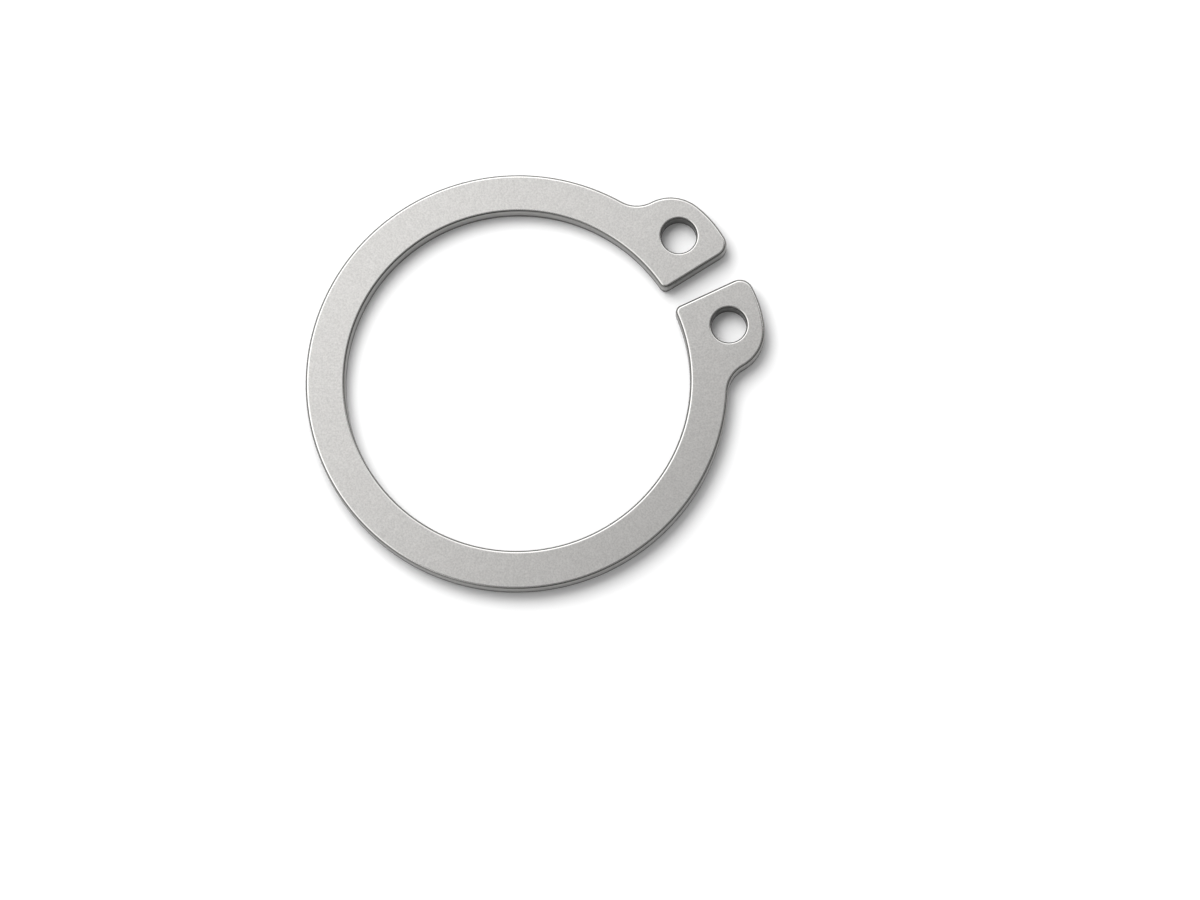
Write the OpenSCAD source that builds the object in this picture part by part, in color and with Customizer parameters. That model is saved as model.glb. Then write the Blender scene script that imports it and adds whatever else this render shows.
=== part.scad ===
// External retaining ring (circlip) for a round shaft, stamped from spring steel.
// Millimetres. The origin is on the bore axis in the plane of the underside,
// Z runs up through the thickness and the split between the two lugs is along +Y.
// The outline is one closed chain of tangent arcs and two straight end faces.
// Its right half is worked out below and mirrored. Bearings are in degrees from +X.

/* [Ring] */

// Diameter of the bore of the free, unsprung ring
bore_diameter = 18.5; // [14:0.1:30]
// Radial width of the band at the sides of the ring
band_width = 2.1; // [1.6:0.05:2.6]
// How much wider the band is opposite the split than at the sides
band_growth = 0.04; // [0:0.01:0.2]
// Thickness of the ring
thickness = 1.2; // [0.8:0.05:1.75]
// Angle between the two end faces of the split
split_angle = 7; // [4:1:12]

/* [Lugs] */

// Distance from the middle of the split to the outer side of a lug
lug_reach = 5.2; // [4.8:0.1:6]
// Straight length of each end face, between its two rounded corners
end_length = 3.22; // [2.9:0.02:3.7]
// Radius of the corner of a lug at the top of its end face
toe_radius = 0.75; // [0.6:0.05:1]
// Radius of the hollow where a lug runs into the band
heel_radius = 1.65; // [1:0.05:2.2]
// Bearing at which the toe passes into the long arc over the lug
crown_start = 88.5; // [86:0.5:89.5]
// Bearing at which the long arc passes into the shoulder
shoulder_start = 68; // [62:1:74]
// Bearing at which the shoulder passes into the hollow
heel_start = 1; // [0:1:6]
// Radius of the corner of a lug between the bore and its end face
root_size = 0.38; // [0.25:0.01:0.45]

/* [Pliers holes] */

// Diameter of the hole in each lug
hole_diameter = 1.9; // [1.2:0.1:2.2]
// Distance between the centres of the two holes
hole_spacing = 5.6; // [5.2:0.1:6]
// Height of the holes above the top of the bore
hole_rise = 2.15; // [1.9:0.05:2.4]

/* [Edges] */

// Rounding of the outline, above and below
edge_radius = 0.18; // [0.08:0.01:0.19]
// Rounding of the rims of the holes, above and below
hole_edge_radius = 0.13; // [0.05:0.01:0.18]

/* [Hidden] */

$fn = 72;
steel = [0.62, 0.62, 0.61];

bore_radius = bore_diameter / 2;
hole_radius = hole_diameter / 2;
hole_center = [hole_spacing / 2, bore_radius + hole_rise];

// The flat plate ends this far inside the outline, under the rounded rim
plate_inset = 0.34;
rim_width = 0.5;

// The outside of the band is a circle set back from the split
band_center = [0, -band_growth];
band_radius = bore_radius + band_width;

// Directions up along the right end face and square to it, into the metal
end_up = dir(90 - split_angle / 2);
end_in = dir(-split_angle / 2);
end_bearing = 180 - split_angle / 2;

// Corner between the bore and the end face, as a whole number of quarter degrees of the bore
root_angle = round(4 * asin(root_size / (bore_radius + root_size))) / 4;
root_bearing = 90 - split_angle / 2 - root_angle;
root_radius = bore_radius * sin(root_angle) / (1 - sin(root_angle));
root_center = (bore_radius + root_radius) * dir(root_bearing);
end_foot = root_center - end_in * root_radius;

// Bearing at which the hollow passes into the band, to the nearest quarter degree
band_start = round(4 * acos((lug_reach + heel_radius) / (band_radius + heel_radius))) / 4;

// The toe is set by the end face and the heel by the band
toe_center = end_foot + end_up * end_length + end_in * toe_radius;
heel_center = band_center + (band_radius + heel_radius) * dir(band_start);

// The radii of the crown and the shoulder are those that close the chain between them
span = heel_center - toe_center - toe_radius * dir(crown_start) - heel_radius * dir(heel_start);
crown_turn = dir(shoulder_start) - dir(crown_start);
shoulder_turn = dir(heel_start) - dir(shoulder_start);
crown_radius = cross(span, shoulder_turn) / cross(crown_turn, shoulder_turn);
shoulder_radius = cross(crown_turn, span) / cross(crown_turn, shoulder_turn);
crown_center = toe_center - (crown_radius - toe_radius) * dir(crown_start);
shoulder_center = crown_center + (crown_radius - shoulder_radius) * dir(shoulder_start);

function dir(bearing) = [cos(bearing), sin(bearing)];

// Points spread along an arc, at most four degrees apart, its two ends left out
function arc(center, radius, from, to) =
    let (steps = max(2, ceil(abs(to - from) / 4)), step = (to - from) / steps)
    [for (i = [0:steps - 1]) center + radius * dir(from + (i + 0.5) * step)];

function mirrored(points) =
    [for (i = [len(points) - 1:-1:0]) [-points[i].x, points[i].y]];

// Outline of the plate over the right lug, from the heel round to the foot of the end face
function lug_points(inset) = concat(
    arc(heel_center, heel_radius + inset, 180 + band_start, 180 + heel_start),
    arc(shoulder_center, shoulder_radius - inset, heel_start, shoulder_start),
    arc(crown_center, crown_radius - inset, shoulder_start, crown_start),
    arc(toe_center, toe_radius - inset, crown_start, end_bearing),
    [
        toe_center - end_in * (toe_radius - inset),
        end_foot + end_in * inset,
        root_center + (root_radius - edge_radius) / 2 * dir((end_bearing + 180 + root_bearing) / 2)
    ]
);

// Moves a piece by a round distance and then by the rest, which keeps joins between arcs true
module place(point) {
    coarse = [round(point.x * 100) / 100, round(point.y * 100) / 100];
    translate(coarse) translate(point - coarse) children();
}

module both_sides() {
    children();
    mirror([1, 0, 0]) children();
}

// Flat plate that fills the ring between its rims
module plate() {
    linear_extrude(height = thickness) difference() {
        polygon(concat(
            lug_points(plate_inset),
            arc([0, 0], bore_radius + plate_inset, root_bearing, -180 - root_bearing),
            mirrored(lug_points(plate_inset)),
            arc(band_center, band_radius - plate_inset, 180 - band_start, 360 + band_start)
        ));
        both_sides() translate(hole_center) circle(hole_radius + plate_inset);
    }
}

// Upright section of a rim, rounded on its right side
module rim_section(width, rounding) {
    intersection() {
        square([width, thickness]);
        union() {
            square([width - rounding, thickness]);
            translate([width - rounding, rounding]) circle(rounding, $fn = 16);
            translate([width - rounding, thickness - rounding]) circle(rounding, $fn = 16);
            translate([width - rounding, rounding]) square([rounding, thickness - 2 * rounding]);
        }
    }
}

// Rim along an arc with the metal towards its centre
module outer_rim(center, radius, from, to) {
    width = min(rim_width, radius);
    place(center) rotate_extrude(angle = to - from, start = from)
        place([radius - width, 0]) rim_section(width, edge_radius);
}

// Rim along an arc with the metal away from its centre
module inner_rim(center, radius, from, to, rounding) {
    place(center) rotate_extrude(angle = to - from, start = from)
        place([radius + rim_width, 0]) mirror([1, 0]) rim_section(rim_width, rounding);
}

// Straight rim of the right end face, from its foot up to the toe
module end_rim() {
    place(end_foot) translate([0, 0, thickness / 2]) rotate([0, 0, -split_angle / 2])
        rotate([-90, 0, 0]) linear_extrude(height = end_length)
            translate([rim_width, -thickness / 2]) mirror([1, 0]) rim_section(rim_width, edge_radius);
}

module circlip() {
    color(steel) union() {
        plate();
        outer_rim(band_center, band_radius, 180 - band_start, 360 + band_start);
        inner_rim([0, 0], bore_radius, 180 - root_bearing, 360 + root_bearing, edge_radius);
        both_sides() {
            inner_rim(heel_center, heel_radius, 180 + heel_start, 180 + band_start, edge_radius);
            outer_rim(shoulder_center, shoulder_radius, heel_start, shoulder_start);
            outer_rim(crown_center, crown_radius, shoulder_start, crown_start);
            outer_rim(toe_center, toe_radius, crown_start, end_bearing);
            outer_rim(root_center, root_radius, end_bearing, 180 + root_bearing);
            end_rim();
            inner_rim(hole_center, hole_radius, 0, 360, hole_edge_radius);
        }
    }
}

circlip();
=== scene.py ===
import math

import bpy
from mathutils import Matrix, Vector
from mathutils.geometry import delaunay_2d_cdt


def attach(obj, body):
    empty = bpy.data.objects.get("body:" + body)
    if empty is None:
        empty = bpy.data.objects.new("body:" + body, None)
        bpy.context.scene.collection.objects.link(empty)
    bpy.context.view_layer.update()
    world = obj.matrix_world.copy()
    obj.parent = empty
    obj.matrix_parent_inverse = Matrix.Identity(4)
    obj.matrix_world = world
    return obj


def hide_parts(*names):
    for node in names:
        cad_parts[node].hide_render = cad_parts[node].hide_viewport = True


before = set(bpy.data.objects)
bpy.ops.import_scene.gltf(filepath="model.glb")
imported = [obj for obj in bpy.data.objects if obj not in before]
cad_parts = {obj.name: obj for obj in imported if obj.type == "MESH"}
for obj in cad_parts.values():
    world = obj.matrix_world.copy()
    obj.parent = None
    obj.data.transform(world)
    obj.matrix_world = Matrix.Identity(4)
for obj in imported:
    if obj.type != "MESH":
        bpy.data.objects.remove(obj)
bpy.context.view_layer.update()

MM = 0.001

# Driving sizes of the ring, in millimetres and degrees, the same as in the part's source
BORE_RADIUS = 9.25
BAND_WIDTH = 2.1
BAND_GROWTH = 0.04
THICKNESS = 1.2
SPLIT_ANGLE = 7
LUG_REACH = 5.2
END_LENGTH = 3.22
TOE_RADIUS = 0.75
HEEL_RADIUS = 1.65
CROWN_START = 88.5
SHOULDER_START = 68
HEEL_START = 1
ROOT_SIZE = 0.38
HOLE_RADIUS = 0.95
HOLE_SPACING = 5.6
HOLE_RISE = 2.15
EDGE_RADIUS = 0.18
HOLE_EDGE_RADIUS = 0.13

# Fineness of the mesh: the longest step and the largest turn along an edge, the steps over a rounding
# and down a wall, and the spacing of the points on a face and how many spacings they stay off its edges
LONGEST_STEP = 0.2
LARGEST_TURN = 4
ROUNDING_STEPS = 8
WALL_STEPS = 3
FACE_GRID = 0.35
GRID_CLEARANCE = 0.6

# Mode of delaunay_2d_cdt that keeps the triangles inside the outline, and its merging distance
INSIDE_OUTLINE = 1
MERGE_DISTANCE = 1e-6

# Camera and place of the ring, read from the photograph, in pixels, millimetres and degrees
IMAGE_WIDTH = 1200
FOCAL_PIXELS = 4500
PIXELS_PER_MM = 18.714
SENSOR_WIDTH = 36
CAMERA_TILT = 10.5
CAMERA_SIDE = 1
CLIP_START = 10
CLIP_END = 10000
SPLIT_BEARING = 28.485
RING_PLACE = Vector((-4.431, 3.834))

# Satin steel: the grain of the faces, a pale tone at the start of a rounding that is a painted highlight,
# the dark rim where it turns over, which is a painted reflection, and the darker cut walls, with painted
# shade in the holes and at the foot
FACE_DARK = (0.585, 0.575, 0.561)
FACE_LIGHT = (0.785, 0.773, 0.755)
# Pale tone at the start of each rounding: a painted highlight
EDGE_HIGHLIGHT_COLOUR = (0.88, 0.871, 0.852)
# Dark band where a rounding turns over: a painted reflection of dark surroundings
RIM_DARK_REFLECTION_COLOUR = (0.12, 0.118, 0.114)
WALL_COLOUR = (0.25, 0.247, 0.24)
# Painted shade on the walls of the holes
HOLE_SHADE_COLOUR = (0.1, 0.098, 0.095)
# Painted shade at the foot of the walls, where the ring meets the paper
FOOT_SHADE_COLOUR = (0.06, 0.058, 0.056)
FACE_ROUGHNESS = 0.32
EDGE_ROUGHNESS = 0.18
WALL_ROUGHNESS = 0.45
CLOUD_ROUGHNESS = 0.02

# Where these change: tilts of the surface, 0 on a face and 1 on a wall, and heights in millimetres
EDGE_FROM = 0.1
RIM_FROM = 0.26
RIM_TO = 0.36
WALL_FROM = 0.46
WALL_TO = 0.6
POLISHED_FROM = 0.15
FOOT_TOP = 0.6
FOOT_FULL = 0.34

# Texture of the steel, in millimetres, with the share of the strokes in it and their stretch, which makes
# them about 0.8 mm long, and the part of a noise between its usual lows and highs
GRAIN = 0.09
GRAIN_DEPTH = 0.002
CLOUD = 1.6
STROKE_WIDTH = 0.1
STROKE_STRETCH = 12
STROKE_SHARE = 0.2
FINE_DETAIL = 2
CLOUD_DETAIL = 3
NOISE_ROUGHNESS = 0.6
NOISE_MIDDLE = (0.3, 0.7)
MIDDLE_RADIUS = BORE_RADIUS + BAND_WIDTH / 2

# White paper, the glow that lifts it to white, which grows with the distance from the ring, and the sky
FLOOR_SIZE = 3000
PAPER = 0.9
PAPER_ROUGHNESS = 0.9
NEAR_LIFT = 0.02
FAR_LIFT = 0.4
LIFT_FROM = 16
LIFT_TO = 45
GLOSSY_GLOW = 0.06
SKY_FILL = 0.5

# Grey card and lamps, in millimetres and watts, placed by bearing and elevation as the photograph shows
FLAG_TOP_SHADE = 0.285
FLAG_FOOT_SHADE = 0.19
FLAG_WIDTH = 220
FLAG_HEIGHT = 160
FLAG_PLACE = {"bearing": -42, "elevation": 57, "distance": 110}
KEY = {"width": 120, "height": 120, "watts": 0.26, "bearing": 128, "elevation": 59, "distance": 150}
HIGHLIGHT = {"width": 190, "height": 50, "watts": 0.017, "bearing": 140, "elevation": 50, "distance": 90}


def direction(bearing):
    """Unit vector at a bearing in degrees, counter-clockwise from +X."""
    return Vector((math.cos(math.radians(bearing)), math.sin(math.radians(bearing))))


def turned(vector, angle):
    """The vector turned counter-clockwise about Z by an angle in degrees."""
    return Matrix.Rotation(math.radians(angle), 3, "Z") @ vector


# Outline of the ring

def cross(a, b):
    return a.x * b.y - a.y * b.x


def nearest_quarter(angle):
    return round(4 * angle) / 4


def step_count(length, turn):
    """Steps that an edge of this length and turn is divided into."""
    return max(1, math.ceil(length / LONGEST_STEP), math.ceil(abs(turn) / LARGEST_TURN))


def arc(center, radius, start, end, side=1):
    """Points on an arc and their directions out of the metal, for side -1 with the metal outside the arc."""
    turn = end - start
    count = step_count(math.radians(abs(turn)) * radius, turn)
    bearings = [start + turn * i / count for i in range(count + 1)]
    return [(center + radius * direction(b), side * direction(b)) for b in bearings]


def straight(start, end, outward):
    count = step_count((end - start).length, 0)
    return [(start.lerp(end, i / count), outward) for i in range(count + 1)]


def right_half():
    """The right half of the outline, from the bottom of the bore round the lug to the bottom of the band."""
    centre = Vector((0, 0))
    band_centre = Vector((0, -BAND_GROWTH))
    band_radius = BORE_RADIUS + BAND_WIDTH
    end_up = direction(90 - SPLIT_ANGLE / 2)
    end_in = direction(-SPLIT_ANGLE / 2)
    end_bearing = 180 - SPLIT_ANGLE / 2
    root_angle = nearest_quarter(math.degrees(math.asin(ROOT_SIZE / (BORE_RADIUS + ROOT_SIZE))))
    root_bearing = 90 - SPLIT_ANGLE / 2 - root_angle
    root_sine = math.sin(math.radians(root_angle))
    root_radius = BORE_RADIUS * root_sine / (1 - root_sine)
    root_centre = (BORE_RADIUS + root_radius) * direction(root_bearing)
    end_foot = root_centre - end_in * root_radius
    heel_ratio = (LUG_REACH + HEEL_RADIUS) / (band_radius + HEEL_RADIUS)
    band_start = nearest_quarter(math.degrees(math.acos(heel_ratio)))
    end_top = end_foot + end_up * END_LENGTH
    toe_centre = end_top + end_in * TOE_RADIUS
    heel_centre = band_centre + (band_radius + HEEL_RADIUS) * direction(band_start)
    span = (heel_centre - toe_centre
            - TOE_RADIUS * direction(CROWN_START) - HEEL_RADIUS * direction(HEEL_START))
    crown_turn = direction(SHOULDER_START) - direction(CROWN_START)
    shoulder_turn = direction(HEEL_START) - direction(SHOULDER_START)
    crown_radius = cross(span, shoulder_turn) / cross(crown_turn, shoulder_turn)
    shoulder_radius = cross(crown_turn, span) / cross(crown_turn, shoulder_turn)
    crown_centre = toe_centre - (crown_radius - TOE_RADIUS) * direction(CROWN_START)
    shoulder_centre = crown_centre + (crown_radius - shoulder_radius) * direction(SHOULDER_START)
    stretches = [
        arc(centre, BORE_RADIUS, -90, root_bearing, side=-1),
        arc(root_centre, root_radius, 180 + root_bearing, end_bearing),
        straight(end_foot, end_top, -end_in),
        arc(toe_centre, TOE_RADIUS, end_bearing, CROWN_START),
        arc(crown_centre, crown_radius, CROWN_START, SHOULDER_START),
        arc(shoulder_centre, shoulder_radius, SHOULDER_START, HEEL_START),
        arc(heel_centre, HEEL_RADIUS, 180 + HEEL_START, 180 + band_start, side=-1),
        arc(band_centre, band_radius, band_start, -90),
    ]
    points = []
    for stretch in stretches:
        points += stretch if not points else stretch[1:]
    return points


def mirrored(points):
    return [(Vector((-p.x, p.y)), Vector((-n.x, n.y))) for p, n in points]


def outline():
    """The closed outline, counter-clockwise round the bore and clockwise round the outside."""
    half = right_half()
    return half + mirrored(half)[-2:0:-1]


def hole_centre(side):
    """Centre of the hole in the right lug, side 1, or in the left lug, side -1."""
    return Vector((side * HOLE_SPACING / 2, BORE_RADIUS + HOLE_RISE))


def hole(side):
    return arc(hole_centre(side), HOLE_RADIUS, 0, 360, side=-1)[:-1]


def in_hole(point):
    return any((point - hole_centre(side)).length < HOLE_RADIUS for side in (1, -1))


# Mesh of the ring

def section(rounding):
    """Upright section of a rim from the top face to the under face: inset, height and slope in degrees."""
    upper = []
    for i in range(ROUNDING_STEPS + 1):
        slope = 90 * i / ROUNDING_STEPS
        out, up = direction(90 - slope)
        upper.append((rounding * (1 - out), THICKNESS - rounding * (1 - up), slope))
    wall_height = THICKNESS - 2 * rounding
    wall = [(0, rounding + wall_height * (1 - i / WALL_STEPS), 90) for i in range(1, WALL_STEPS)]
    lower = [(inset, THICKNESS - height, 180 - slope) for inset, height, slope in reversed(upper)]
    return upper + wall + lower


class Mesh:
    """Collects the points, normals and faces of one mesh, with two values at each point for the material:
    the tilt of the surface, and 1 on the rims of the holes."""

    def __init__(self):
        self.points = []
        self.normals = []
        self.tilts = []
        self.bored = []
        self.faces = []

    def add_point(self, point, normal, tilt=0, bored=0):
        self.points.append(tuple(point))
        self.normals.append(tuple(normal))
        self.tilts.append(tilt)
        self.bored.append(bored)
        return len(self.points) - 1

    def add_rim(self, line, rounding, bored):
        """Sweeps the section along a closed line and gives the loops of points at the top and under faces."""
        rows = []
        for inset, height, slope in section(rounding):
            out, up = direction(90 - slope)
            tilt = min(slope, 180 - slope) / 90
            rows.append([
                self.add_point((*(p - inset * n), height), (*(out * n), up), tilt, bored) for p, n in line
            ])
        count = len(line)
        for above, below in zip(rows, rows[1:]):
            for i in range(count):
                j = (i + 1) % count
                self.faces.append((above[i], above[j], below[j], below[i]))
        return rows[0], rows[-1]

    def add_face(self, loops, height, up, grid):
        """Fills the flat face between its loops with even triangles."""
        indices = [i for loop in loops for i in loop]
        flat = [Vector(self.points[i][:2]) for i in indices]
        edges = []
        start = 0
        for loop in loops:
            edges += [(start + i, start + (i + 1) % len(loop)) for i in range(len(loop))]
            start += len(loop)
        points, _, triangles, origins, _, _ = delaunay_2d_cdt(
            flat + grid, edges, [], INSIDE_OUTLINE, MERGE_DISTANCE
        )
        names = []
        for point, origin in zip(points, origins):
            old = [o for o in origin if o < len(indices)]
            names.append(indices[old[0]] if old else None)
        for triangle in triangles:
            a, b, c = (points[corner] for corner in triangle)
            if in_hole((a + b + c) / 3):
                continue
            for corner in triangle:
                if names[corner] is None:
                    names[corner] = self.add_point((*points[corner], height), (0, 0, up))
            order = triangle if cross(b - a, c - a) * up > 0 else triangle[::-1]
            self.faces.append(tuple(names[c] for c in order))

    def to_object(self, name):
        data = bpy.data.meshes.new(name)
        data.from_pydata([Vector(p) * MM for p in self.points], [], self.faces)
        data.attributes.new("tilt", "FLOAT", "POINT").data.foreach_set("value", self.tilts)
        data.attributes.new("hole", "FLOAT", "POINT").data.foreach_set("value", self.bored)
        data.polygons.foreach_set("use_smooth", [True] * len(data.polygons))
        data.normals_split_custom_set_from_vertices(self.normals)
        data.validate()
        piece = bpy.data.objects.new(name, data)
        bpy.context.scene.collection.objects.link(piece)
        return piece


def face_grid(line):
    """Corners of even triangles over the flat face, clear of its edges."""
    reach = BORE_RADIUS + BAND_WIDTH + LUG_REACH
    rows = math.ceil(2 * reach / FACE_GRID)
    row_height = math.sqrt(0.75)
    clearance = EDGE_RADIUS + GRID_CLEARANCE * FACE_GRID
    edge = [p for p, _ in line] + [p for side in (1, -1) for p, _ in hole(side)]
    grid = []
    for row in range(rows):
        for column in range(rows):
            corner = Vector((column + 0.5 * (row % 2), row * row_height))
            point = corner * FACE_GRID - Vector((reach, reach))
            if BORE_RADIUS < point.length < reach and min((point - p).length for p in edge) > clearance:
                grid.append(point)
    return grid


def make_ring():
    """The whole ring as one closed mesh."""
    line = outline()
    mesh = Mesh()
    loops = [mesh.add_rim(line, EDGE_RADIUS, bored=0)]
    loops += [mesh.add_rim(hole(side), HOLE_EDGE_RADIUS, bored=1) for side in (1, -1)]
    grid = face_grid(line)
    mesh.add_face([top for top, _ in loops], THICKNESS, 1, grid)
    mesh.add_face([under for _, under in loops], 0, -1, grid)
    return mesh.to_object("ring")


ring = make_ring()
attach(ring, "root")
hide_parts("circlip")


# Camera

def image_to_model(vector):
    """Turns a vector from the photograph's axes, X right and Y up, to the ring's."""
    return turned(vector, 90 - SPLIT_BEARING)


def make_camera():
    """A camera that looks down on the ring, from the near side and a little from the right."""
    back = Vector((math.tan(math.radians(CAMERA_SIDE)), -math.tan(math.radians(CAMERA_TILT)), 1)).normalized()
    right = Vector((0, 1, 0)).cross(back).normalized()
    up = back.cross(right)
    place = back * FOCAL_PIXELS / PIXELS_PER_MM - Vector((*RING_PLACE, -THICKNESS))
    data = bpy.data.cameras.new("camera")
    data.sensor_width = SENSOR_WIDTH
    data.lens = SENSOR_WIDTH * FOCAL_PIXELS / IMAGE_WIDTH
    data.clip_start = CLIP_START * MM
    data.clip_end = CLIP_END * MM
    camera = bpy.data.objects.new("camera", data)
    axes = [image_to_model(v) for v in (right, up, back)]
    camera.matrix_world = Matrix.Translation(image_to_model(place) * MM) @ Matrix(axes).transposed().to_4x4()
    bpy.context.scene.collection.objects.link(camera)
    bpy.context.scene.camera = camera


make_camera()


# Materials

def new_material(name, roughness, specular=0.5):
    """A material with one plain shader, its node tree and the shader."""
    material = bpy.data.materials.new(name)
    material.use_nodes = True
    shader = material.node_tree.nodes["Principled BSDF"]
    shader.inputs["Roughness"].default_value = roughness
    shader.inputs["Specular IOR Level"].default_value = specular
    return material, material.node_tree, shader


def add_node(tree, kind, settings=None, values=None, links=None):
    """Adds a node with its settings, and its inputs by name or number as values or as links."""
    node = tree.nodes.new("ShaderNode" + kind)
    for name, setting in (settings or {}).items():
        setattr(node, name, setting)
    for name, value in (values or {}).items():
        node.inputs[name].default_value = value
    for name, socket in (links or {}).items():
        tree.links.new(socket, node.inputs[name])
    return node


def math_node(tree, operation, *inputs):
    """Adds a Math node and gives its result. Each input is a number or a socket."""
    numbers = {i: x for i, x in enumerate(inputs) if isinstance(x, (int, float))}
    sockets = {i: x for i, x in enumerate(inputs) if i not in numbers}
    return add_node(tree, "Math", {"operation": operation}, numbers, sockets).outputs[0]


def seen_directly(tree):
    """1 for what the camera sees, straight or in a mirror or glass, and 0 for light that falls on things."""
    path = add_node(tree, "LightPath").outputs
    direct = math_node(tree, "MAXIMUM", path["Is Camera Ray"], path["Is Glossy Ray"])
    return math_node(tree, "MAXIMUM", direct, path["Is Transmission Ray"])


def ramp(tree, value, start, end, low=0, high=1, kind="LINEAR"):
    """Goes from low to high while the value goes from start to end."""
    values = {"From Min": start, "From Max": end, "To Min": low, "To Max": high}
    node = add_node(tree, "MapRange", {"interpolation_type": kind}, values, {"Value": value})
    return node.outputs["Result"]


def smooth_step(tree, value, start, end, low=0, high=1):
    return ramp(tree, value, start, end, low, high, kind="SMOOTHSTEP")


def mix(tree, factor, first, second):
    """Mixes two colours by a factor. A colour is three numbers or a socket. The node's own sockets are
    called by number, because their names repeat."""
    colours = {6: first, 7: second}
    values = {i: (*c, 1) for i, c in colours.items() if isinstance(c, tuple)}
    links = {i: c for i, c in colours.items() if i not in values}
    return add_node(tree, "Mix", {"data_type": "RGBA"}, values, {0: factor, **links}).outputs[2]


def colour_ramp(tree, value, stops):
    """A colour that follows the value through a list of places and colours."""
    node = add_node(tree, "ValToRGB", {}, {}, {"Fac": value})
    elements = node.color_ramp.elements
    elements.remove(elements[-1])
    elements[0].position = stops[0][0]
    for place, _ in stops[1:]:
        elements.new(place)
    for element, (_, colour) in zip(elements, stops):
        element.color = (*colour, 1)
    return node.outputs["Color"]


def make_paper():
    """Paper that keeps the shadow of the ring, and is lifted to white only where it is seen directly."""
    material, tree, shader = new_material("white_paper", PAPER_ROUGHNESS, specular=0)
    shader.inputs["Base Color"].default_value = (PAPER, PAPER, PAPER, 1)
    shader.inputs["Emission Color"].default_value = (1, 1, 1, 1)
    glossy = add_node(tree, "LightPath").outputs["Is Glossy Ray"]
    place = add_node(tree, "TexCoord").outputs["Object"]
    distance = add_node(tree, "VectorMath", {"operation": "LENGTH"}, {}, {0: place}).outputs["Value"]
    lift = ramp(tree, distance, LIFT_FROM * MM, LIFT_TO * MM, NEAR_LIFT, FAR_LIFT)
    seen_lift = math_node(tree, "MULTIPLY", seen_directly(tree), lift)
    strength = math_node(tree, "MULTIPLY_ADD", glossy, GLOSSY_GLOW, seen_lift)
    tree.links.new(strength, shader.inputs["Emission Strength"])
    return material


def make_grey_card():
    """A grey card that grows a little paler from its middle to its top."""
    material, tree, shader = new_material("grey_card", roughness=1, specular=0)
    shader.inputs["Base Color"].default_value = (0, 0, 0, 1)
    shader.inputs["Emission Color"].default_value = (1, 1, 1, 1)
    place = add_node(tree, "TexCoord").outputs["Object"]
    height = add_node(tree, "SeparateXYZ", {}, {}, {"Vector": place}).outputs["Y"]
    shade = ramp(tree, height, 0, FLAG_HEIGHT * MM / 2, FLAG_FOOT_SHADE, FLAG_TOP_SHADE)
    tree.links.new(shade, shader.inputs["Emission Strength"])
    return material


def noise(tree, vector, scale, detail):
    values = {"Scale": scale, "Detail": detail, "Roughness": NOISE_ROUGHNESS}
    return add_node(tree, "TexNoise", {}, values, {"Vector": vector}).outputs["Fac"]


def spread(tree, value, low, high):
    """Turns the middle of a noise into the range from low to high, and the rest in proportion."""
    start, end = NOISE_MIDDLE
    values = {"From Min": start, "From Max": end, "To Min": low, "To Max": high}
    return add_node(tree, "MapRange", {"clamp": False}, values, {"Value": value}).outputs["Result"]


def steel_texture(tree, place):
    """An even grain with faint strokes that point away from the axis of the bore."""
    flat = add_node(tree, "VectorMath", {"operation": "MULTIPLY"}, {1: (1, 1, 0)}, {0: place}).outputs[0]
    outward = add_node(tree, "VectorMath", {"operation": "NORMALIZE"}, {}, {0: flat}).outputs[0]
    distance = add_node(tree, "VectorMath", {"operation": "LENGTH"}, {}, {0: flat}).outputs["Value"]
    drawn_out = math_node(tree, "MULTIPLY", distance, STROKE_STRETCH)
    along = add_node(tree, "CombineXYZ", {}, {}, {"Z": drawn_out}).outputs[0]
    stroke_place = add_node(tree, "VectorMath", {"operation": "ADD"}, {}, {0: outward, 1: along}).outputs[0]
    grain = noise(tree, place, 1 / (GRAIN * MM), FINE_DETAIL)
    strokes = noise(tree, stroke_place, MIDDLE_RADIUS / STROKE_WIDTH, FINE_DETAIL)
    grain_part = math_node(tree, "MULTIPLY", grain, 1 - STROKE_SHARE)
    return math_node(tree, "MULTIPLY_ADD", strokes, STROKE_SHARE, grain_part)


def steel_colour(tree, place, tilt, wall, texture):
    """Grain on the faces, a painted highlight then a painted dark reflection over the roundings, darker
    walls, and painted shade in the holes and at the foot.
    """
    face_tone = mix(tree, spread(tree, texture, 0, 1), FACE_DARK, FACE_LIGHT)
    # Over a rounding: a painted highlight, then a painted dark reflection, then the darker tone of the cut
    # wall
    rounding_light_and_wall_tone = colour_ramp(tree, tilt, [
        (EDGE_FROM, EDGE_HIGHLIGHT_COLOUR), (RIM_FROM, EDGE_HIGHLIGHT_COLOUR), (RIM_TO, RIM_DARK_REFLECTION_COLOUR),
        (WALL_FROM, RIM_DARK_REFLECTION_COLOUR), (WALL_TO, WALL_COLOUR),
    ])
    tone = mix(tree, smooth_step(tree, tilt, 0, EDGE_FROM), face_tone, rounding_light_and_wall_tone)
    bored = add_node(tree, "Attribute", {"attribute_name": "hole"}).outputs["Fac"]
    # Painted shade on the walls of the holes, where they are narrow
    hole_shaded_tone = mix(tree, math_node(tree, "MULTIPLY", wall, bored), tone, HOLE_SHADE_COLOUR)
    # Painted shade growing down the walls towards the paper
    height = add_node(tree, "SeparateXYZ", {}, {}, {"Vector": place}).outputs["Z"]
    foot = smooth_step(tree, height, FOOT_TOP * MM, FOOT_FULL * MM)
    return mix(tree, math_node(tree, "MULTIPLY", wall, foot), hole_shaded_tone, FOOT_SHADE_COLOUR)


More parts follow.
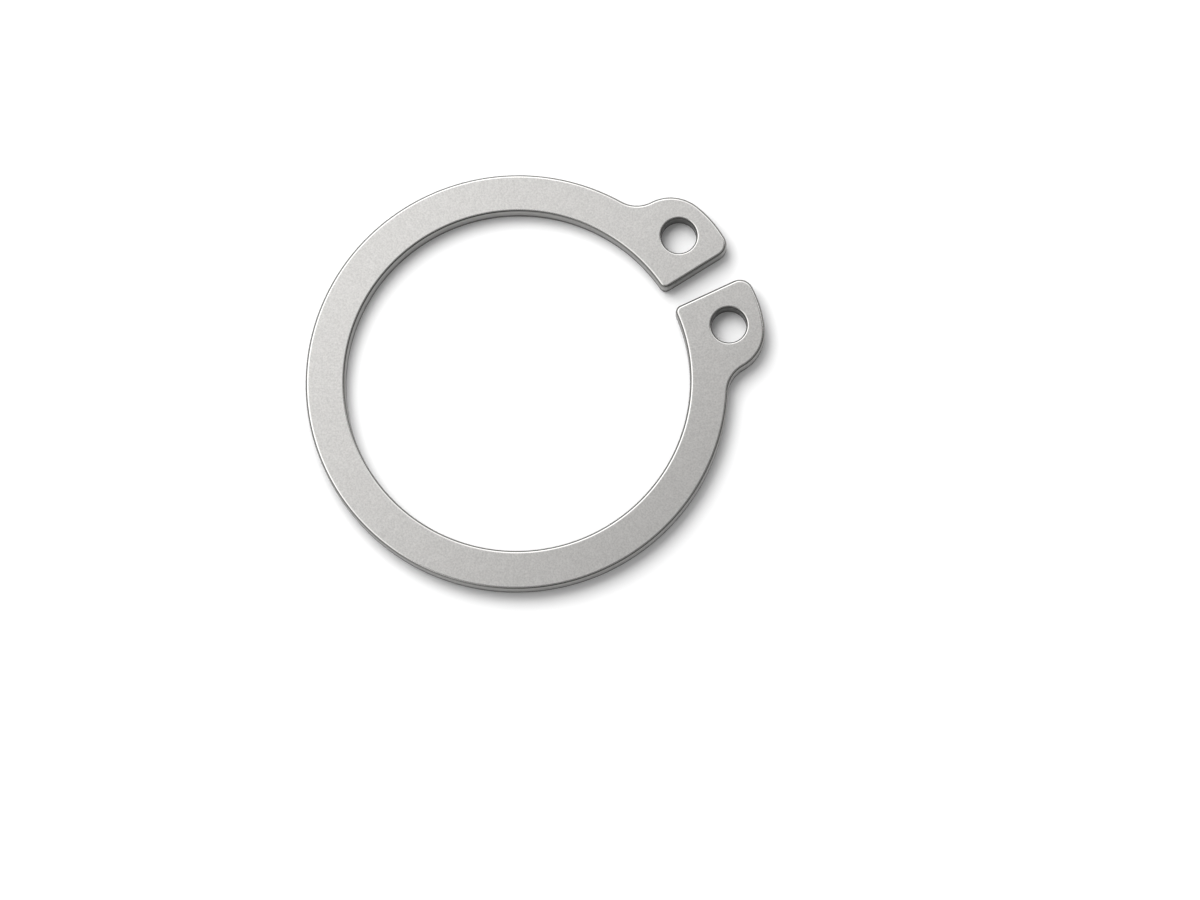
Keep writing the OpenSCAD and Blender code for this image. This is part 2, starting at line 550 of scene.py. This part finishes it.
def steel_roughness(tree, place, tilt, wall):
    """Satin faces with faint clouds, polished roundings and duller cut walls."""
    clouds = noise(tree, place, 1 / (CLOUD * MM), CLOUD_DETAIL)
    polish = smooth_step(tree, tilt, 0, POLISHED_FROM, FACE_ROUGHNESS, EDGE_ROUGHNESS)
    dulled = math_node(tree, "MULTIPLY_ADD", wall, WALL_ROUGHNESS - EDGE_ROUGHNESS, polish)
    return math_node(tree, "ADD", dulled, spread(tree, clouds, -CLOUD_ROUGHNESS, CLOUD_ROUGHNESS))


def make_steel():
    """Satin spring steel, with its grain in the colour and as a slight bump."""
    material, tree, shader = new_material("satin_spring_steel", FACE_ROUGHNESS)
    shader.inputs["Metallic"].default_value = 1
    place = add_node(tree, "TexCoord").outputs["Object"]
    tilt = add_node(tree, "Attribute", {"attribute_name": "tilt"}).outputs["Fac"]
    wall = smooth_step(tree, tilt, WALL_FROM, WALL_TO)
    texture = steel_texture(tree, place)
    bump = add_node(tree, "Bump", {}, {"Strength": 1, "Distance": GRAIN_DEPTH * MM}, {"Height": texture})
    tree.links.new(steel_colour(tree, place, tilt, wall, texture), shader.inputs["Base Color"])
    tree.links.new(steel_roughness(tree, place, tilt, wall), shader.inputs["Roughness"])
    tree.links.new(bump.outputs["Normal"], shader.inputs["Normal"])
    return material


ring.data.materials.append(make_steel())


# Studio

def add_flat(name, width, depth, material):
    """A flat sheet, centred on its own origin, that is no part of the object."""
    x, y = width * MM / 2, depth * MM / 2
    data = bpy.data.meshes.new(name)
    data.from_pydata([(-x, -y, 0), (x, -y, 0), (x, y, 0), (-x, y, 0)], [], [(0, 1, 2, 3)])
    data.materials.append(material)
    sheet = bpy.data.objects.new(name, data)
    bpy.context.scene.collection.objects.link(sheet)
    return sheet


def aim(thing, bearing, elevation, distance):
    """Puts a lamp or a card at a bearing and height of the photograph, facing the ring."""
    flat = direction(bearing) * math.cos(math.radians(elevation))
    out = image_to_model(Vector((*flat, math.sin(math.radians(elevation)))))
    thing.location = out * distance * MM
    thing.rotation_euler = (-out).to_track_quat("-Z", "Y").to_euler()


def make_lamp(name, width, height, watts, **place):
    """A soft lamp of width by height, at a bearing, elevation and distance."""
    data = bpy.data.lights.new(name, "AREA")
    data.shape = "RECTANGLE"
    data.size = width * MM
    data.size_y = height * MM
    data.energy = watts
    lamp = bpy.data.objects.new(name, data)
    bpy.context.scene.collection.objects.link(lamp)
    aim(lamp, **place)
    return lamp


def make_world():
    """An even white sky, weaker where it lights things than where it is seen directly."""
    world = bpy.data.worlds.new("studio")
    world.use_nodes = True
    tree = world.node_tree
    background = tree.nodes["Background"]
    background.inputs["Color"].default_value = (1, 1, 1, 1)
    tree.links.new(ramp(tree, seen_directly(tree), 0, 1, SKY_FILL, 1), background.inputs["Strength"])
    bpy.context.scene.world = world


add_flat("floor", FLOOR_SIZE, FLOOR_SIZE, make_paper())

# The card and the highlight show only in the gloss of the steel, and the key doesn't show there
flag = add_flat("flag", FLAG_WIDTH, FLAG_HEIGHT, make_grey_card())
aim(flag, **FLAG_PLACE)
flag.visible_camera = False
flag.visible_diffuse = False
flag.visible_shadow = False
key = make_lamp("key", **KEY)
key.visible_glossy = False
highlight = make_lamp("highlight", **HIGHLIGHT)
highlight.visible_diffuse = False
make_world()
bpy.context.scene.view_settings.view_transform = "Standard"
